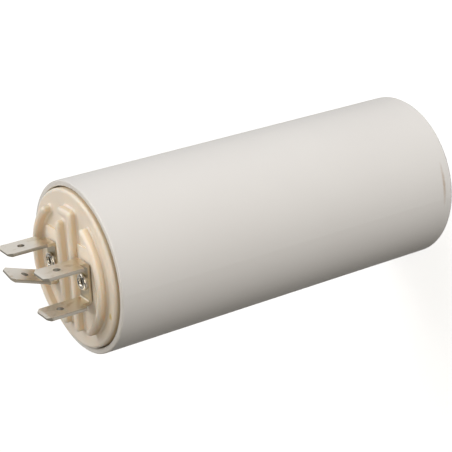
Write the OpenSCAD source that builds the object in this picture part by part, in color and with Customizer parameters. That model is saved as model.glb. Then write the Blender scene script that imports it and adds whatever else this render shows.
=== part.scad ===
// Film capacitor for a motor: a moulded cylindrical case closed by a moulded lid,
// with two riveted double push-on terminals on the lid and a wound film element inside.
// The axis is +Z, the base stands on Z = 0 and the terminals point up.

/* [Case] */
// Outside diameter of the case
case_d = 40; // [39:0.5:50]
// Height of the case from the base to the lip
case_h = 93; // [70:1:130]
// Thickness of the side wall
wall_t = 2; // [1.6:0.1:2.4]
// Thickness of the base
base_t = 2; // [1.2:0.1:4]
// Rounding of the outer edge of the base
base_edge_r = 0.8; // [0.3:0.1:1.2]
// Width of the step inside the mouth that carries the lid
seat_w = 0.65; // [0.4:0.05:0.8]
// Rounding of the lip's outer edge
lip_out_r = 0.3; // [0.1:0.05:0.8]
// Rounding of the lip's inner edge
lip_in_r = 0.3; // [0.1:0.05:0.35]

/* [Lid] */
// Thickness of the lid's disc
lid_t = 3; // [2:0.1:4.5]
// Height of the lid's flat above the lip of the case
lid_rise = 1.05; // [0.4:0.05:1.6]
// Rounding of the lid's upper edge
lid_edge_r = 0.7; // [0.3:0.05:1]
// Gap between the lid and the case
lid_gap = 0.3; // [0.05:0.05:0.35]
// Wall of the skirt under the lid
skirt_t = 1.5; // [1:0.1:2.5]
// Depth of the skirt below its seat
skirt_h = 5; // [2:0.5:7]

/* [Barrier ribs] */
// Thickness of the two straight ribs
rib_t = 1.8; // [1.2:0.1:2.2]
// Height of the straight ribs above the lid's flat
rib_h = 2; // [1:0.1:3]
// Clear width of the channel between the straight ribs
rib_channel = 3.8; // [2:0.1:4.2]
// Reach of both ribs below the middle of the lid
rib_low = 13.9; // [10:0.1:15.5]
// Reach of the front rib above the middle of the lid
front_rib_up = 14.9; // [12.5:0.1:15.5]
// Reach of the back rib above the middle of the lid
back_rib_up = 11; // [8:0.1:12]
// Rounding of the crests of the ribs and the arcs, at most half of their thickness
crest_r = 0.7; // [0.1:0.05:0.9]
// Width of the sloped foot of the ribs and the arcs
foot_w = 0.35; // [0.1:0.05:0.6]
// Inside radius of the two arc ribs
arc_r = 14; // [13.2:0.1:15]
// Thickness of the arc ribs
arc_t = 1.5; // [1.2:0.1:2]
// Height of the arc ribs above the lid's flat
arc_h = 2.2; // [1:0.1:3]
// Half of the angle that an arc rib spans, to the middles of its round ends
arc_half = 54; // [40:1:58]
// How far the round end of a rib lies inside the rib's own faces
end_inset = 0.03; // [0.01:0.01:0.1]

/* [Terminal pads] */
// Height of the pads above the lid's flat
pad_h = 0.5; // [0.2:0.05:0.9]
// Distance from the middle of the lid to the outer edge of a pad
pad_reach = 11; // [10:0.1:12]
// Length of a pad along the ribs
pad_l = 15; // [12:0.5:15.5]
// Corner rounding of the pads
pad_corner_r = 1; // [0.3:0.1:2]

/* [Terminals] */
// Width of a push-on tab
tab_w = 6.3; // [4.8:0.1:6.5]
// Thickness of the terminal sheet
tab_t = 0.8; // [0.5:0.1:1]
// Height of the tab tips above the pad
tab_h = 12; // [9:0.1:14]
// Distance between the middles of the two tabs of one terminal
tab_pitch = 9.2; // [8.6:0.1:10.5]
// Cut corner at each side of a tab's tip
tab_corner = 1; // [0.4:0.1:1.6]
// Length of the lead-in bevel at a tab's tip
tip_bevel_l = 0.7; // [0.2:0.1:1.2]
// Depth of the coined bevels at a tab's tip and long edges
edge_bevel = 0.18; // [0.05:0.01:0.22]
// Diameter of the catch hole in a tab
tab_hole_d = 1.65; // [1.2:0.05:2]
// Distance from the tip to the middle of the catch hole
tab_hole_drop = 4.4; // [3:0.1:5]
// Width of the strip that carries the two tabs
strip_w = 4.1; // [4:0.1:4.6]
// Height of the strip's shoulder above the pad
shoulder_h = 2.6; // [2.2:0.1:3.2]
// Inside radius of the bends in the strip
bend_r = 0.5; // [0.3:0.05:0.8]
// Distance from the middle of the lid to a rivet
rivet_x = 7.35; // [6.9:0.05:7.8]
// Lean of the bent tab towards its neighbour, in degrees
bent_lean = 19; // [0:1:22]
// Twist of the bent tab on its neck, in degrees
bent_twist = 8; // [0:1:12]

/* [Rivets] */
// Diameter of the rivet's shank
rivet_d = 2.8; // [2:0.1:3]
// Diameter of the rolled head
head_d = 4; // [3.6:0.1:4.4]
// Height of the rolled head
head_h = 0.9; // [0.7:0.05:1.2]
// Diameter of the hollow in the head
hollow_d = 1.6; // [1:0.1:1.8]
// Depth of the hollow
hollow_l = 2.4; // [1:0.1:3]
// Diameter of the flange under the lid
flange_d = 5; // [4:0.1:6]
// Thickness of the flange under the lid
flange_t = 0.6; // [0.4:0.1:1]
// Gap around the shank
rivet_gap = 0.1; // [0.05:0.05:0.2]

/* [Film element] */
// Thickness of the filling between the element and the case
fill_side = 0.8; // [0.5:0.1:2]
// Thickness of the filling under the element
fill_base = 6; // [5.6:0.1:10]
// Free height between the element and the lid
head_room = 13; // [11:0.5:20]
// Thickness of the sprayed metal on each end of the element
spray_t = 0.6; // [0.3:0.1:1]
// Outside diameter of the winding core
core_d = 8; // [6:0.5:9]
// Wall of the winding core
core_t = 1; // [0.6:0.1:1.4]
// Gap between the core and the film, and around the potted pieces
bond_gap = 0.05; // [0.02:0.01:0.1]

/* [Leads] */
// Diameter of the two leads
lead_d = 1.4; // [1:0.1:1.8]
// Distance from the outside of the core to the lower lead's joint
lead_land = 2.2; // [1.4:0.1:3]
// Radius of the bends in the lower lead above the element
lead_bend_r = 2.4; // [1.6:0.1:3]

/* [Hidden] */
// Facets of the small rounds, and of those as wide as the case
$fn = 64;
ring_fn = 128;
// How far a cut runs past the face that it opens
over = 1;
// Thickness of the two slabs that a twisted neck spans
sliver = 0.01;
// Radii and levels, from the axis and from the base, and how far ribs and pads are rooted in the lid
case_r = case_d / 2;
bore_r = case_r - wall_t;
mouth_r = bore_r + seat_w;
flat_z = case_h + lid_rise;
seat_z = flat_z - lid_t;
root = lid_t / 4;
lid_r = mouth_r - lid_gap;
skirt_r = bore_r - lid_gap;
rib_x = (rib_channel + rib_t) / 2;
rib_face = rib_x + rib_t / 2;
pad_z = flat_z + pad_h;
sheet_z = pad_z + tab_t;
bend_mid = bend_r + tab_t / 2;
strip_l = tab_pitch - 2 * bend_mid;
neck_l = shoulder_h - tab_t - bend_r;
blade_l = tab_h - shoulder_h;
rivet_hole_d = rivet_d + 2 * rivet_gap;
tail_z = seat_z - flange_t;
element_z = base_t + fill_base;
element_top = seat_z - head_room;
film_z = element_z + spray_t;
film_top = element_top - spray_t;
element_r = bore_r - fill_side;
core_bore_r = core_d / 2 - core_t;
lead_turn_r = (core_d / 2 + lead_land) / 2;
lead_run_z = (element_top + tail_z) / 2;

// The waste outside a rounded corner at the origin, of a shape that lies at -x, -y
module corner_waste(r) {
    difference() {
        translate([-r, -r]) square(r + over);
        translate([-r, -r]) circle(r);
    }
}

// Half of a rib's section: a rounded crest, a sloped foot and a root in the lid
module half_section(t, h) {
    difference() {
        translate([0, -root]) square([t / 2, h + root]);
        translate([t / 2, h]) corner_waste(min(crest_r, t / 2));
    }
    polygon([[0, foot_w], [t / 2, foot_w], [t / 2 + foot_w + root, -root], [0, -root]]);
}

module rib_section(t, h) {
    half_section(t, h);
    mirror([1, 0]) half_section(t, h);
}

// The round end of a rib, about its own upright axis
module round_end(t, h) {
    rotate_extrude() half_section(t - 2 * end_inset, h - end_inset);
}

module case() {
    color("whitesmoke")
    rotate_extrude($fn = ring_fn)
    difference() {
        square([case_r, case_h]);
        translate([0, base_t]) square([bore_r, case_h]);
        translate([0, seat_z]) square([mouth_r, case_h]);
        translate([case_r, 0]) mirror([0, 1]) corner_waste(base_edge_r);
        translate([case_r, case_h]) corner_waste(lip_out_r);
        translate([mouth_r, case_h]) mirror([1, 0]) corner_waste(lip_in_r);
    }
}

// A straight rib along Y on the lid's flat, between the middles of its ends
module straight_rib(y0, y1) {
    translate([0, y1, 0]) rotate([90, 0, 0]) linear_extrude(y1 - y0) rib_section(rib_t, rib_h);
}

// An arc rib around the axis, centred on +X, with round ends
module arc_rib() {
    mid_r = arc_r + arc_t / 2;
    rotate([0, 0, -arc_half]) rotate_extrude(angle = 2 * arc_half, $fn = ring_fn)
        translate([mid_r, 0]) rib_section(arc_t, arc_h);
    for (end = [-arc_half, arc_half])
        rotate([0, 0, end]) translate([mid_r, 0, 0]) round_end(arc_t, arc_h);
}

// The pad under one terminal, from a rib to the pad's rounded outer edge
module pad() {
    translate([0, 0, -root]) linear_extrude(pad_h + root)
    difference() {
        translate([rib_x, -pad_l / 2]) square([pad_reach - rib_x, pad_l]);
        translate([pad_reach, pad_l / 2]) corner_waste(pad_corner_r);
        translate([pad_reach, -pad_l / 2]) mirror([0, 1]) corner_waste(pad_corner_r);
    }
}

module lid_disc() {
    rotate_extrude($fn = ring_fn) {
        difference() {
            translate([0, seat_z]) square([lid_r, lid_t]);
            translate([lid_r, flat_z]) corner_waste(lid_edge_r);
        }
        translate([skirt_r - skirt_t, seat_z - skirt_h]) square([skirt_t, skirt_h + lid_t / 2]);
    }
}

// Two straight ribs, the front one turned across the channel at its upper end, and two arcs
module barrier() {
    low_y = rib_t / 2 - rib_low;
    front_y = front_rib_up - rib_t / 2;
    back_y = back_rib_up - rib_t / 2;
    turn_x = rib_t / 2 - rib_channel / 2;
    translate([rib_x, 0, 0]) straight_rib(low_y, front_y);
    translate([-rib_x, 0, 0]) straight_rib(low_y, back_y);
    translate([0, front_y, 0]) rotate([0, 0, 90]) straight_rib(-rib_x, -turn_x);
    for (end = [[rib_x, low_y], [rib_x, front_y], [-rib_x, low_y], [-rib_x, back_y], [turn_x, front_y]])
        translate(end) round_end(rib_t, rib_h);
    arc_rib();
    mirror([1, 0, 0]) arc_rib();
}

module lid() {
    color("antiquewhite")
    difference() {
        union() {
            lid_disc();
            translate([0, 0, flat_z]) {
                barrier();
                pad();
                mirror([1, 0, 0]) pad();
            }
        }
        for (x = [-rivet_x, rivet_x])
            translate([x, 0, seat_z - over]) cylinder(d = rivet_hole_d, h = lid_t + pad_h + 2 * over);
    }
}

// The neck between a bend and its tab, turned by twist from its foot to its top
module neck(twist) {
    if (twist == 0)
        translate([-strip_w / 2, -tab_t / 2, 0]) cube([strip_w, tab_t, neck_l]);
    else
        hull()
        for (level = [0, 1])
            translate([0, 0, level * (neck_l - sliver)]) rotate([0, 0, level * twist])
            linear_extrude(sliver) square([strip_w, tab_t], center = true);
}

// The tab seen on its broad face: cut corners at the tip and the catch hole
module blade_face() {
    half = tab_w / 2;
    difference() {
        polygon([[-half, 0], [half, 0], [half, blade_l - tab_corner], [half - tab_corner, blade_l],
            [tab_corner - half, blade_l], [-half, blade_l - tab_corner]]);
        translate([0, blade_l - tab_hole_drop]) circle(d = tab_hole_d);
    }
}

// The tab seen on its narrow side, thinned at the tip
module blade_side() {
    half = tab_t / 2;
    polygon([[-half, 0], [half, 0], [half, blade_l - tip_bevel_l], [half - edge_bevel, blade_l],
        [edge_bevel - half, blade_l], [-half, blade_l - tip_bevel_l]]);
}

// The tab's section, with its four long edges bevelled
module bevelled_bar() {
    x = tab_w / 2;
    y = tab_t / 2;
    polygon([[-x, edge_bevel - y], [edge_bevel - x, -y], [x - edge_bevel, -y], [x, edge_bevel - y],
        [x, y - edge_bevel], [x - edge_bevel, y], [edge_bevel - x, y], [-x, y - edge_bevel]]);
}

// One push-on tab on its neck, with its inner edge at -strip_w / 2
module blade(twist) {
    neck(twist);
    rotate([0, 0, twist])
    translate([tab_w / 2 - strip_w / 2, 0, neck_l])
    intersection() {
        rotate([90, 0, 0]) translate([0, 0, -tab_t / 2]) linear_extrude(tab_t) blade_face();
        rotate([90, 0, 90]) translate([0, 0, -tab_w / 2]) linear_extrude(tab_w) blade_side();
        linear_extrude(blade_l) bevelled_bar();
    }
}

// The bend at one end of the strip, with its tab, leaning inward
module leg(lean, twist) {
    translate([0, -strip_l / 2, tab_t + bend_r]) {
        rotate([90, 0, 90]) rotate([0, 0, 180 - lean]) translate([0, 0, -strip_w / 2])
            rotate_extrude(angle = 90 + lean) translate([bend_r, 0]) square([tab_t, strip_w]);
        rotate([-lean, 0, 0]) translate([0, -bend_mid, 0]) blade(twist);
    }
}

// A stamped strip with a tab bent up at each end, on a rivet hole at the origin
module terminal(lean, twist) {
    difference() {
        translate([-strip_w / 2, -strip_l / 2, 0]) cube([strip_w, strip_l, tab_t]);
        translate([0, 0, -over]) cylinder(d = rivet_hole_d, h = tab_t + 2 * over);
    }
    leg(lean, twist);
    mirror([0, 1, 0]) leg(0, 0);
}

module terminal_front() {
    color("silver") translate([rivet_x, 0, pad_z]) terminal(0, 0);
}

module terminal_back() {
    color("silver") mirror([1, 0, 0]) translate([rivet_x, 0, pad_z]) terminal(bent_lean, bent_twist);
}

// A tubular rivet: flange under the lid, shank, and head rolled out over the strip
module rivet() {
    roll_r = (head_d - hollow_d) / 4;
    roll_x = (head_d + hollow_d) / 4;
    head_z = sheet_z + head_h;
    rotate_extrude()
    difference() {
        union() {
            translate([0, tail_z]) square([flange_d / 2, flange_t]);
            translate([0, tail_z]) square([rivet_d / 2, head_z - roll_r - tail_z]);
            translate([0, sheet_z]) square([head_d / 2, head_h - roll_r]);
            intersection() {
                translate([roll_x, head_z - roll_r]) circle(roll_r);
                translate([0, sheet_z]) square([head_d / 2, head_h]);
            }
        }
        translate([0, head_z - hollow_l]) square([hollow_d / 2, hollow_l + over]);
    }
}

module rivet_front() {
    color("gainsboro") translate([rivet_x, 0, 0]) rivet();
}

module rivet_back() {
    color("gainsboro") translate([-rivet_x, 0, 0]) rivet();
}

module ring(r_out, r_in, z0, z1) {
    rotate_extrude($fn = ring_fn) translate([r_in, z0]) square([r_out - r_in, z1 - z0]);
}

module film_roll() {
    color("lightgray") ring(element_r, core_d / 2 + bond_gap, film_z, film_top);
}

module winding_core() {
    color("ivory") ring(core_d / 2, core_bore_r, film_z, film_top);
}

module end_contact_upper() {
    color("darkgray") ring(element_r, core_bore_r, film_top, element_top);
}

module end_contact_lower() {
    color("darkgray") ring(element_r, core_bore_r, element_z, film_z);
}

module lead_upper() {
    color("tan") translate([rivet_x, 0, element_top]) cylinder(d = lead_d, h = tail_z - element_top);
}

// An elbow of the lower lead in the XZ plane, around the origin
module elbow(r, d, a0, sweep) {
    rotate([90, 0, 0]) rotate([0, 0, a0]) rotate_extrude(angle = sweep) translate([r, 0]) circle(d = d);
}

// The lower lead turns under the element, rises through the core and crosses to its rivet
module lower_lead_path(d) {
    run_l = rivet_x - 2 * lead_bend_r;
    translate([-lead_turn_r, 0, element_z]) elbow(lead_turn_r, d, 180, 180);
    translate([0, 0, element_z]) cylinder(d = d, h = lead_run_z - lead_bend_r - element_z);
    translate([-lead_bend_r, 0, lead_run_z - lead_bend_r]) elbow(lead_bend_r, d, 0, 90);
    translate([-lead_bend_r, 0, lead_run_z]) rotate([0, -90, 0]) cylinder(d = d, h = run_l);
    translate([lead_bend_r - rivet_x, 0, lead_run_z + lead_bend_r]) elbow(lead_bend_r, d, 180, 90);
    translate([-rivet_x, 0, lead_run_z + lead_bend_r])
        cylinder(d = d, h = tail_z - lead_run_z - lead_bend_r);
}

module lead_lower() {
    color("tan") lower_lead_path(lead_d);
}

// The filling under and around the element, poured to the top of the film
module potting() {
    color("dimgray")
    difference() {
        translate([0, 0, base_t]) cylinder(r = bore_r - bond_gap, h = film_top - base_t, $fn = ring_fn);
        translate([0, 0, element_z]) cylinder(r = element_r + bond_gap, h = film_top, $fn = ring_fn);
        translate([-lead_turn_r, 0, element_z]) elbow(lead_turn_r, lead_d + 2 * bond_gap, 180, 180);
    }
}

case();
lid();
terminal_front();
terminal_back();
rivet_front();
rivet_back();
film_roll();
winding_core();
end_contact_upper();
end_contact_lower();
lead_upper();
lead_lower();
potting();
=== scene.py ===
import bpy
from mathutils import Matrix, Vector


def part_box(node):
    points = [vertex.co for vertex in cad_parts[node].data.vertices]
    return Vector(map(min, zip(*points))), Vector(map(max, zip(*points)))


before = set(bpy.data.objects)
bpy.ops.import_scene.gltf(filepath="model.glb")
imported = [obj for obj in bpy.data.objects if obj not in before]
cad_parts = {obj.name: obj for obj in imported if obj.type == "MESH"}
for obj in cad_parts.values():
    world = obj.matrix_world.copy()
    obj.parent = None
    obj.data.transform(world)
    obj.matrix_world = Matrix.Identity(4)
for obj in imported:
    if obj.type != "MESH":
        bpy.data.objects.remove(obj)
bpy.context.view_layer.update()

import math

import bpy
from mathutils import Quaternion, Vector

mm = 0.001
print("frame loaded:", ", ".join(sorted(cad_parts)))


def hexToLinear(code):
    channels = [int(code[i:i + 2], 16) / 255 for i in (1, 3, 5)]
    return [c / 12.92 if c <= 0.04045 else ((c + 0.055) / 1.055) ** 2.4 for c in channels] + [1]


# a colour Mix takes its share at 0 and its two colours at 6 and 7, and gives the result at output 2
def addNode(tree, kind, sockets=None, **settings):
    node = tree.nodes.new("ShaderNode" + kind)
    for name, value in settings.items():
        setattr(node, name, value)
    for name, value in (sockets or {}).items():
        if isinstance(value, bpy.types.NodeSocket):
            tree.links.new(value, node.inputs[name])
        else:
            node.inputs[name].default_value = value
    return node


def newMaterial(name):
    material = bpy.data.materials.new(name)
    material.use_nodes = True
    material.node_tree.nodes.clear()
    return material, material.node_tree


def dress(nodeName, material):
    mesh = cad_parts[nodeName].data
    mesh.materials.clear()
    mesh.materials.append(material)


def towards(azimuth, elevation):   # degrees, from +X towards +Y and up
    around, above = math.radians(azimuth), math.radians(elevation)
    return Vector((
        math.cos(above) * math.cos(around),
        math.cos(above) * math.sin(around),
        math.sin(above),
    ))


# camera, placed so that the case lies across the picture as in the photograph
cameraView = {
    "azimuth": 26.065,            # degrees
    "elevation": 30.315,
    "roll": -106.242,             # turns the upright part on its side in the picture
    "target": (0.15, -0.30, 53.24),   # mm
    "distance": 353.67,           # mm
    "lens": 119.7,                # mm
    "sensor": 36,                 # mm
    "nearest": 10,                # mm, the least distance that is drawn
}
target = Vector(cameraView["target"]) * mm
towardsCamera = towards(cameraView["azimuth"], cameraView["elevation"])
cameraData = bpy.data.cameras.new("camera")
cameraData.lens = cameraView["lens"]
cameraData.sensor_width = cameraView["sensor"]
cameraData.clip_start = cameraView["nearest"] * mm
camera = bpy.data.objects.new("camera", cameraData)
camera.location = target + towardsCamera * cameraView["distance"] * mm
camera.rotation_mode = "QUATERNION"
camera.rotation_quaternion = (
    towardsCamera.to_track_quat("Z", "Y") @ Quaternion((0, 0, 1), math.radians(cameraView["roll"]))
)
bpy.context.scene.collection.objects.link(camera)
bpy.context.scene.camera = camera
print("camera placed")


# studio: a pale table that lets the two low softboxes shine up through it, and two more above the lid
studio = {
    "floorSize": 8.0,             # m
    "floorColour": "#c8c8c8",     # as the camera sees it under the lamps
    "floorBounce": "#5c5c5c",     # what it throws back on the object
    "floorGlow": 0.78,            # the share of white that the eye and the metal see without any lamp
    "roomStrength": 0.1,          # what the room adds to matt surfaces
    "roomColour": "#fff3d8",      # and its warm shade there
    "wallColour": "#ffffff",      # the room that the eye and the metal see
    "wallHeight": (0.1, 0.65),    # in the metal it fades between these heights, from full strength
    "ceiling": 0.12,              # to this share overhead
}
softboxes = [                     # degrees, m and W
    {"name": "high softbox", "azimuth": 116, "elevation": 45, "distance": 0.9, "size": 0.8, "power": 6.15,
     "colour": "#ffffff"},
    {"name": "fill softbox", "azimuth": 22, "elevation": 48, "distance": 0.9, "size": 0.6, "power": 2.2,
     "colour": "#fff6e4"},
    {"name": "front softbox", "azimuth": 41, "elevation": -20, "distance": 1.2, "size": 0.6, "power": 9.8,
     "colour": "#ffffff"},
    {"name": "back softbox", "azimuth": 212, "elevation": -25, "distance": 0.7, "size": 0.36, "power": 3.2,
     "colour": "#ffffff"},
]


# 1 for what the camera sees, also by way of mirrors and glass, and 0 for light on matt surfaces
def seenDirectly(tree):
    path = addNode(tree, "LightPath")
    seen = addNode(tree, "Math", {
        0: path.outputs["Is Camera Ray"], 1: path.outputs["Is Glossy Ray"]}, operation="MAXIMUM")
    return addNode(tree, "Math", {
        0: seen.outputs[0], 1: path.outputs["Is Transmission Ray"]}, operation="MAXIMUM").outputs[0]


def whitePaperFloor():
    # matt paper that keeps the shadow of the object, with a glow that makes the rest white
    material, tree = newMaterial("white paper floor")
    path = addNode(tree, "LightPath")
    shade = addNode(tree, "Mix", {
        0: path.outputs["Is Camera Ray"], 6: hexToLinear(studio["floorBounce"]),
        7: hexToLinear(studio["floorColour"])}, data_type="RGBA")
    glow = addNode(tree, "Math", {0: seenDirectly(tree), 1: studio["floorGlow"]}, operation="MULTIPLY")
    paper = addNode(tree, "BsdfDiffuse", {"Color": shade.outputs[2]})
    white = addNode(tree, "Emission", {"Strength": glow.outputs[0]})
    both = addNode(tree, "AddShader", {0: paper.outputs[0], 1: white.outputs[0]})
    addNode(tree, "OutputMaterial", {"Surface": both.outputs[0]})
    return material


def layFloor():
    half = studio["floorSize"] / 2
    mesh = bpy.data.meshes.new("floor")
    corners = [(-half, -half, 0), (half, -half, 0), (half, half, 0), (-half, half, 0)]
    mesh.from_pydata(corners, [], [(0, 1, 2, 3)])
    mesh.materials.append(whitePaperFloor())
    floor = bpy.data.objects.new("floor", mesh)
    floor.visible_shadow = False   # lamps under the table reach the case
    bpy.context.scene.collection.objects.link(floor)


def buildRoom():
    world = bpy.data.worlds.new("room")
    bpy.context.scene.world = world
    world.use_nodes = True
    tree = world.node_tree
    path = addNode(tree, "LightPath")
    seen = seenDirectly(tree)
    height = addNode(tree, "SeparateXYZ", {"Vector": addNode(tree, "TexCoord").outputs["Generated"]})
    low, high = studio["wallHeight"]
    wall = addNode(tree, "MapRange", {
        "Value": height.outputs["Z"], "From Min": low, "From Max": high,
        "To Min": 1.0, "To Max": studio["ceiling"]})
    shown = addNode(tree, "Math", {
        0: wall.outputs[0], 1: path.outputs["Is Camera Ray"]}, operation="MAXIMUM")
    strength = addNode(tree, "MapRange", {
        "Value": seen, "To Min": studio["roomStrength"], "To Max": shown.outputs[0]})
    shade = addNode(tree, "Mix", {
        0: seen, 6: hexToLinear(studio["roomColour"]), 7: hexToLinear(studio["wallColour"])},
        data_type="RGBA")
    room = tree.nodes["Background"]
    tree.links.new(shade.outputs[2], room.inputs["Color"])
    tree.links.new(strength.outputs[0], room.inputs["Strength"])


def addSoftbox(box):
    lamp = bpy.data.lights.new(box["name"], "AREA")
    lamp.size = box["size"]
    lamp.energy = box["power"]
    lamp.color = hexToLinear(box["colour"])[:3]
    light = bpy.data.objects.new(box["name"], lamp)
    direction = towards(box["azimuth"], box["elevation"])
    light.location = target + direction * box["distance"]
    light.rotation_mode = "QUATERNION"
    light.rotation_quaternion = direction.to_track_quat("Z", "Y")
    light.visible_camera = False
    # the low ones stand for a wide pale table: they give no hard glints, and the floor doesn't stop them
    aboveTable = box["elevation"] > 0
    light.visible_glossy = aboveTable
    lamp.cycles.use_multiple_importance_sampling = aboveTable
    bpy.context.scene.collection.objects.link(light)


layFloor()
buildRoom()
for softbox in softboxes:
    addSoftbox(softbox)
bpy.context.scene.view_settings.view_transform = "Standard"
print("studio built")


# full in the middle of a streak or stain, fading out at a rim that the grain breaks up
def raggedSpot(tree, place, grain, spot, centre, halfSizes):
    fromCentre = addNode(tree, "Mapping", {
        "Vector": place, "Location": centre, "Scale": halfSizes}, vector_type="TEXTURE")
    away = addNode(tree, "VectorMath", {0: fromCentre.outputs[0]}, operation="LENGTH")
    ragged = addNode(tree, "Math", {
        0: grain, 1: spot["ragged"], 2: away.outputs["Value"]}, operation="MULTIPLY_ADD")
    near, far = spot["fade"]
    return addNode(tree, "MapRange", {
        "Value": ragged.outputs[0], "From Min": near, "From Max": far,
        "To Min": spot["strength"], "To Max": 0.0}).outputs[0]


# a pattern varies the roughness, and a relief, which may be the same pattern, bumps the surface
def finishSurface(tree, look, colour, pattern, relief, sockets, invert=False):
    low, high = look["roughness"]
    rough = addNode(tree, "MapRange", {"Value": pattern, "To Min": low, "To Max": high})
    strength, height = look["bump"]
    bump = addNode(tree, "Bump", {
        "Height": relief, "Strength": strength, "Distance": height * mm}, invert=invert)
    surface = addNode(tree, "BsdfPrincipled", {
        "Base Color": colour, "Roughness": rough.outputs[0], "Normal": bump.outputs[0], **sockets})
    addNode(tree, "OutputMaterial", {"Surface": surface.outputs[0]})


casePlastic = {
    "colour": "#e4e2e0",
    "shade": "#dedbd9",
    "flow": 28,                   # mm, broad clouding from the mould
    "grain": 0.5,                 # mm, fine moulded grain
    "bump": (0.05, 0.05),         # strength of the grain, and its height in mm
    "roughness": (0.5, 0.6),
    "ior": 1.49,
    "gloss": 0.15,                # specular level, low from a satin mould
    "brownStreak": {
        "colour": "#b0977f",
        "azimuth": 10,            # degrees from +X
        "rise": 2.7,              # mm above the base
        "halfSize": (6.2, 0.55),  # mm, around the case and up
        "fade": (0.3, 1.3),       # start and end of its fading, in shares of its size with the grain added
        "ragged": 0.6,            # how far the grain breaks its rim
        "strength": 0.7,
    },
}


def mouldedWhiteCase():
    # polypropylene from a satin mould: soft even shading, no clear reflections
    material, tree = newMaterial("moulded white polypropylene")
    place = addNode(tree, "TexCoord").outputs["Object"]
    flow = addNode(tree, "TexNoise", {
        "Vector": place, "Scale": 1 / (casePlastic["flow"] * mm), "Detail": 3}).outputs["Fac"]
    grain = addNode(tree, "TexNoise", {
        "Vector": place, "Scale": 1 / (casePlastic["grain"] * mm), "Detail": 2}).outputs["Fac"]
    clouded = addNode(tree, "Mix", {
        0: flow, 6: hexToLinear(casePlastic["colour"]),
        7: hexToLinear(casePlastic["shade"])}, data_type="RGBA")
    # a faint brown streak near the base
    brownStreak = casePlastic["brownStreak"]
    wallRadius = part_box("case")[1].x
    along, up = [half * mm for half in brownStreak["halfSize"]]
    centre = towards(brownStreak["azimuth"], 0) * wallRadius + Vector((0, 0, brownStreak["rise"] * mm))
    streaked = raggedSpot(tree, place, grain, brownStreak, centre, (along, along, up))
    colour = addNode(tree, "Mix", {
        0: streaked, 6: clouded.outputs[2], 7: hexToLinear(brownStreak["colour"])}, data_type="RGBA")
    finishSurface(tree, casePlastic, colour.outputs[2], flow, grain, {
        "IOR": casePlastic["ior"], "Specular IOR Level": casePlastic["gloss"]})
    return material


lidPlastic = {
    "colour": "#f2e8dd",
    "shade": "#ebdfd0",
    "paintedFlankShade": "#ecddc5",           # painted warm shade on upright faces
    "upright": 0.25,              # how far a face may lean back and still take some of it
    "flow": 9,                    # mm, clouding from the mould
    "grain": 0.4,                 # mm, fine moulded grain
    "bump": (0.08, 0.05),         # strength of the grain, and its height in mm
    "roughness": (0.38, 0.5),
    "ior": 1.53,
    "gloss": 0.35,                # specular level
    "depth": 1.1,                 # mm that red light travels inside
    "depthShares": (1.0, 0.85, 0.7),   # of that depth, for red, green and blue
    "paintedShade": "#a08458",           # painted shade in the gap around the lid
    "shadeRise": 1.0,             # mm above the lip of the case
    "shadeStrength": 0.22,
    "stain": {                    # on the flat outside the front arc
        "colour": "#e2c878",
        "azimuth": -20,           # degrees from +X
        "reach": 16.9,            # mm from the axis
        "rise": 1.05,             # mm from the lip of the case up to that flat
        "halfSize": (0.9, 0.6),   # mm, along the edge and across
        "fade": (0.9, 1.5),       # start and end of its fading, in shares of its size with the grain added
        "ragged": 0.8,            # how far the grain breaks its rim
        "strength": 0.85,
    },
}


def mouldedCreamLid():
    # natural PBT: slightly translucent, so its shaded faces turn a warm tan; its upright faces also get a
    # painted warm shade
    material, tree = newMaterial("moulded cream polyester")
    coordinates = addNode(tree, "TexCoord")
    place = coordinates.outputs["Object"]
    flow = addNode(tree, "TexNoise", {
        "Vector": place, "Scale": 1 / (lidPlastic["flow"] * mm), "Detail": 3}).outputs["Fac"]
    grain = addNode(tree, "TexNoise", {
        "Vector": place, "Scale": 1 / (lidPlastic["grain"] * mm), "Detail": 2}).outputs["Fac"]
    clouded = addNode(tree, "Mix", {
        0: flow, 6: hexToLinear(lidPlastic["colour"]),
        7: hexToLinear(lidPlastic["shade"])}, data_type="RGBA")
    # painted shade: upright faces take a deeper, warmer colour, as if they stood in shade
    facing = addNode(tree, "SeparateXYZ", {"Vector": coordinates.outputs["Normal"]})
    upright = addNode(tree, "MapRange", {
        "Value": facing.outputs["Z"], "From Max": lidPlastic["upright"], "To Min": 1.0, "To Max": 0.0})
    colour = addNode(tree, "Mix", {
        0: upright.outputs[0], 6: clouded.outputs[2],
        7: hexToLinear(lidPlastic["paintedFlankShade"])}, data_type="RGBA")
    # one small yellow stain with a ragged rim
    stain = lidPlastic["stain"]
    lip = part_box("case")[1].z
    along, across = [half * mm for half in stain["halfSize"]]
    centre = towards(stain["azimuth"], 0) * stain["reach"] * mm + Vector((0, 0, lip + stain["rise"] * mm))
    stained = raggedSpot(tree, place, grain, stain, centre, (across, along, along))
    spotted = addNode(tree, "Mix", {
        0: stained, 6: colour.outputs[2], 7: hexToLinear(stain["colour"])}, data_type="RGBA")
    # painted shade in the gap, fading out up the rim
    rise = addNode(tree, "SeparateXYZ", {"Vector": place})
    shadeMask = addNode(tree, "MapRange", {
        "Value": rise.outputs["Z"], "From Min": lip, "From Max": lip + lidPlastic["shadeRise"] * mm,
        "To Min": lidPlastic["shadeStrength"], "To Max": 0.0})
    shadedColour = addNode(tree, "Mix", {
        0: shadeMask.outputs[0], 6: spotted.outputs[2],
        7: hexToLinear(lidPlastic["paintedShade"])}, data_type="RGBA")
    finishSurface(tree, lidPlastic, shadedColour.outputs[2], flow, grain, {
        "IOR": lidPlastic["ior"], "Specular IOR Level": lidPlastic["gloss"], "Subsurface Weight": 1.0,
        "Subsurface Radius": lidPlastic["depthShares"], "Subsurface Scale": lidPlastic["depth"] * mm})
    return material


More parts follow.
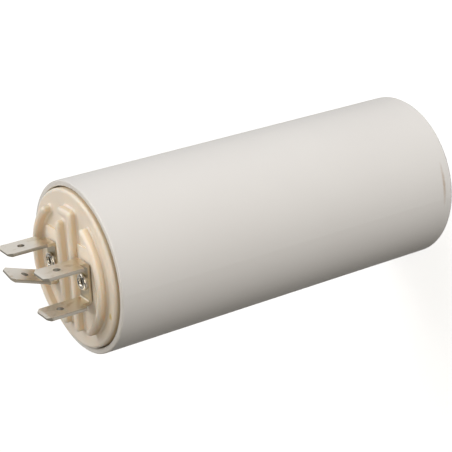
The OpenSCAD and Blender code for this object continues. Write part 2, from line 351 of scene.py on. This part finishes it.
tinPlate = {
    "colour": "#dfd9cf",
    "root": "#e2d9c6",            # painted warm reflection of the cream lid around the bends
    "rootRise": 6.5,              # mm from the foot of the strip, up to where that painted reflection ends
    "shoulderRise": 2.6,          # mm from the foot of the strip to the shoulders of its tabs
    # real tarnish in patches, and painted darker reflection on the strip's upper face
    "tarnishAndReflection": "#b8aa8e",
    "cloud": 2.2,                 # mm, clouds of tarnish
    "cloudFrom": (0.55, 0.8),     # values of the cloud pattern where tarnish starts and where it is full
    "levelFrom": (0.7, 0.95),     # the same, by how far a face looks up
    "levelStrength": 0.75,        # painted darker reflection on the strip's upper face, in the tarnish colour
    "cutEdge": "#b2aca1",         # dull where the press cut the tabs
    "cutFrom": (0.8, 0.9),        # how far a tab's face looks along Y, from fully cut to plated
    "paintedShade": "#6b5842",           # painted shade in the joint between strip and lid
    "shadeRise": 0.45,            # mm
    "roughness": (0.26, 0.4),
    "cutRoughness": 0.5,
}


def tinnedBrassSheet():
    # bright tin on rolled brass: mirrors its surroundings softly, with clouded tarnish and dull cut edges
    material, tree = newMaterial("tinned brass sheet")
    coordinates = addNode(tree, "TexCoord")
    place = coordinates.outputs["Object"]
    height = addNode(tree, "SeparateXYZ", {"Vector": place})
    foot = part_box("terminal_front")[0].z
    shoulder = foot + tinPlate["shoulderRise"] * mm
    # painted reflection: warmer from the foot up to the shoulders, fading out up the tabs
    nearRoot = addNode(tree, "MapRange", {
        "Value": height.outputs["Z"], "From Min": shoulder, "From Max": foot + tinPlate["rootRise"] * mm,
        "To Min": 1.0, "To Max": 0.0})
    withRootReflection = addNode(tree, "Mix", {
        0: nearRoot.outputs[0], 6: hexToLinear(tinPlate["colour"]),
        7: hexToLinear(tinPlate["root"])}, data_type="RGBA")
    facing = addNode(tree, "VectorMath", {0: coordinates.outputs["Normal"]}, operation="ABSOLUTE")
    axes = addNode(tree, "SeparateXYZ", {"Vector": facing.outputs[0]})
    # tarnish in patches, and a painted darker reflection all over the strip's upper face
    cloud = addNode(tree, "TexNoise", {
        "Vector": place, "Scale": 1 / (tinPlate["cloud"] * mm), "Detail": 4})
    start, full = tinPlate["cloudFrom"]
    patch = addNode(tree, "MapRange", {
        "Value": cloud.outputs["Fac"], "From Min": start, "From Max": full})
    start, full = tinPlate["levelFrom"]
    level = addNode(tree, "MapRange", {
        "Value": axes.outputs["Z"], "From Min": start, "From Max": full,
        "To Max": tinPlate["levelStrength"]})
    darkening = addNode(tree, "Math", {0: patch.outputs[0], 1: level.outputs[0]}, operation="MAXIMUM")
    plated = addNode(tree, "Mix", {
        0: darkening.outputs[0], 6: withRootReflection.outputs[2],
        7: hexToLinear(tinPlate["tarnishAndReflection"])}, data_type="RGBA")
    # cut faces: on the tabs all that doesn't look along Y
    onTab = addNode(tree, "Math", {0: height.outputs["Z"], 1: shoulder}, operation="GREATER_THAN")
    full, start = tinPlate["cutFrom"]
    turned = addNode(tree, "MapRange", {
        "Value": axes.outputs["Y"], "From Min": full, "From Max": start, "To Min": 1.0, "To Max": 0.0})
    cut = addNode(tree, "Math", {0: onTab.outputs[0], 1: turned.outputs[0]}, operation="MULTIPLY")
    colour = addNode(tree, "Mix", {
        0: cut.outputs[0], 6: plated.outputs[2],
        7: hexToLinear(tinPlate["cutEdge"])}, data_type="RGBA")
    # painted shade at the foot of the strip
    shadeMask = addNode(tree, "MapRange", {
        "Value": height.outputs["Z"], "From Min": foot, "From Max": foot + tinPlate["shadeRise"] * mm,
        "To Min": 1.0, "To Max": 0.0})
    shadedColour = addNode(tree, "Mix", {
        0: shadeMask.outputs[0], 6: colour.outputs[2],
        7: hexToLinear(tinPlate["paintedShade"])}, data_type="RGBA")
    low, high = tinPlate["roughness"]
    smooth = addNode(tree, "MapRange", {"Value": cloud.outputs["Fac"], "To Min": low, "To Max": high})
    rough = addNode(tree, "MapRange", {
        "Value": cut.outputs[0], "To Min": smooth.outputs[0], "To Max": tinPlate["cutRoughness"]})
    surface = addNode(tree, "BsdfPrincipled", {
        "Base Color": shadedColour.outputs[2], "Metallic": 1.0, "Roughness": rough.outputs[0]})
    addNode(tree, "OutputMaterial", {"Surface": surface.outputs[0]})
    return material


nickel = {
    "colour": "#d8d3ca",
    "worn": "#b9b09f",
    "dent": 2.0,                  # mm, uneven roll of the head
    "dentDetail": (1, 0.3),       # finer levels of it, and the share that each adds
    "bump": (0.6, 0.4),           # strength of the dents, and their height in mm
    "roughness": (0.14, 0.26),
}


def rolledNickelRivet():
    # bright nickel on a rolled head: hard white glints beside dark reflections
    material, tree = newMaterial("rolled nickel plated rivet")
    place = addNode(tree, "TexCoord").outputs["Object"]
    levels, share = nickel["dentDetail"]
    dent = addNode(tree, "TexNoise", {
        "Vector": place, "Scale": 1 / (nickel["dent"] * mm), "Detail": levels,
        "Roughness": share}).outputs["Fac"]
    colour = addNode(tree, "Mix", {
        0: dent, 6: hexToLinear(nickel["colour"]), 7: hexToLinear(nickel["worn"])}, data_type="RGBA")
    finishSurface(tree, nickel, colour.outputs[2], dent, dent, {"Metallic": 1.0})
    return material


woundFilm = {
    "colour": "#b3b6ba",
    "line": "#92969b",
    "turn": 0.3,                  # mm between drawn turns, where the real film is too thin to draw
    "waver": 0.6,                 # unevenness of the turns
    "wrinkle": 7,                 # mm
    "crease": 0.5,                # unevenness of the wrinkles
    "bump": (0.3, 0.3),           # strength of the wrinkles, and their height in mm
    "roughness": (0.18, 0.34),
}


def woundMetallisedFilm():
    # vapour coated film: silvery, with the rings of its turns on the ends and soft wrinkles around it
    material, tree = newMaterial("wound metallised film")
    place = addNode(tree, "TexCoord").outputs["Object"]
    waveLength = 2 * math.pi / 20   # a wave texture repeats after this many of its scaled units
    turns = addNode(tree, "TexWave", {
        "Vector": place, "Scale": waveLength / (woundFilm["turn"] * mm), "Distortion": woundFilm["waver"]},
        wave_type="RINGS", rings_direction="Z")
    wrinkle = addNode(tree, "TexNoise", {
        "Vector": place, "Scale": 1 / (woundFilm["wrinkle"] * mm), "Detail": 3,
        "Distortion": woundFilm["crease"]}).outputs["Fac"]
    colour = addNode(tree, "Mix", {
        0: turns.outputs["Fac"], 6: hexToLinear(woundFilm["line"]),
        7: hexToLinear(woundFilm["colour"])}, data_type="RGBA")
    finishSurface(tree, woundFilm, colour.outputs[2], wrinkle, wrinkle, {"Metallic": 1.0})
    return material


coreTube = {
    "colour": "#e9e4d6",
    "streak": "#dbd4c2",
    "streakSize": (0.6, 20),      # mm, width and length of the die lines along the tube
    "bump": (0.15, 0.05),         # strength of the die lines, and their height in mm
    "roughness": (0.35, 0.5),
    "ior": 1.49,
}


def extrudedTube():
    # polypropylene tube: waxy, with faint lines from the die along its length
    material, tree = newMaterial("extruded polypropylene tube")
    place = addNode(tree, "TexCoord").outputs["Object"]
    width, length = coreTube["streakSize"]
    stretched = addNode(tree, "Mapping", {"Vector": place, "Scale": (1, 1, width / length)})
    streak = addNode(tree, "TexNoise", {
        "Vector": stretched.outputs[0], "Scale": 1 / (width * mm), "Detail": 2}).outputs["Fac"]
    colour = addNode(tree, "Mix", {
        0: streak, 6: hexToLinear(coreTube["colour"]),
        7: hexToLinear(coreTube["streak"])}, data_type="RGBA")
    finishSurface(tree, coreTube, colour.outputs[2], streak, streak, {"IOR": coreTube["ior"]})
    return material


zincSpray = {
    "colour": "#9a9b9c",
    "pit": "#6f7071",
    "drop": 0.35,                 # mm, one sprayed drop
    "bump": (0.6, 0.15),          # strength of the drops, and their height in mm
    "roughness": (0.5, 0.75),
}


def sprayedZinc():
    # arc sprayed zinc: dull grey metal built of small splashed drops
    material, tree = newMaterial("arc sprayed zinc")
    place = addNode(tree, "TexCoord").outputs["Object"]
    fromDrop = addNode(tree, "TexVoronoi", {
        "Vector": place, "Scale": 1 / (zincSpray["drop"] * mm)}).outputs["Distance"]
    colour = addNode(tree, "Mix", {
        0: fromDrop, 6: hexToLinear(zincSpray["colour"]),
        7: hexToLinear(zincSpray["pit"])}, data_type="RGBA")
    finishSurface(tree, zincSpray, colour.outputs[2], fromDrop, fromDrop, {"Metallic": 1.0}, invert=True)
    return material


wireSleeve = {
    "colour": "#c29a6a",
    "worn": "#ab8454",
    "smear": 2.5,                 # mm, smears of resin
    "bump": (0.2, 0.1),           # strength of the smears, and their height in mm
    "roughness": (0.4, 0.55),
    "ior": 1.53,
}


def sleevedWire():
    # soft PVC sleeve: tan, slightly smeared with resin
    material, tree = newMaterial("PVC sleeved wire")
    place = addNode(tree, "TexCoord").outputs["Object"]
    smear = addNode(tree, "TexNoise", {
        "Vector": place, "Scale": 1 / (wireSleeve["smear"] * mm), "Detail": 4}).outputs["Fac"]
    colour = addNode(tree, "Mix", {
        0: smear, 6: hexToLinear(wireSleeve["colour"]),
        7: hexToLinear(wireSleeve["worn"])}, data_type="RGBA")
    finishSurface(tree, wireSleeve, colour.outputs[2], smear, smear, {"IOR": wireSleeve["ior"]})
    return material


resinFill = {
    "colour": "#45464a",
    "cloud": "#36373a",
    "flow": 12,                   # mm, clouding from the pour
    "bubble": 1.2,                # mm between bubbles
    "bubbleRadius": 0.3,          # mm
    "bump": (0.4, 0.1),           # strength of the bubbles, and their depth in mm
    "roughness": (0.12, 0.3),
    "ior": 1.55,
}


def pouredResin():
    # epoxy that set in place: dark and glossy, clouded, with burst bubbles
    material, tree = newMaterial("poured epoxy resin")
    place = addNode(tree, "TexCoord").outputs["Object"]
    flow = addNode(tree, "TexNoise", {
        "Vector": place, "Scale": 1 / (resinFill["flow"] * mm), "Detail": 3}).outputs["Fac"]
    bubbles = addNode(tree, "TexVoronoi", {"Vector": place, "Scale": 1 / (resinFill["bubble"] * mm)})
    pits = addNode(tree, "MapRange", {
        "Value": bubbles.outputs["Distance"], "From Max": resinFill["bubbleRadius"] / resinFill["bubble"]})
    colour = addNode(tree, "Mix", {
        0: flow, 6: hexToLinear(resinFill["colour"]),
        7: hexToLinear(resinFill["cloud"])}, data_type="RGBA")
    finishSurface(tree, resinFill, colour.outputs[2], flow, pits.outputs[0], {"IOR": resinFill["ior"]})
    return material


# what is seen first, then what is sealed inside
finishes = [
    (mouldedWhiteCase(), ["case"]),
    (mouldedCreamLid(), ["lid"]),
    (tinnedBrassSheet(), ["terminal_front", "terminal_back"]),
    (rolledNickelRivet(), ["rivet_front", "rivet_back"]),
    (woundMetallisedFilm(), ["film_roll"]),
    (extrudedTube(), ["winding_core"]),
    (sprayedZinc(), ["end_contact_upper", "end_contact_lower"]),
    (sleevedWire(), ["lead_upper", "lead_lower"]),
    (pouredResin(), ["potting"]),
]
for material, nodeNames in finishes:
    for nodeName in nodeNames:
        dress(nodeName, material)
print("materials assigned")
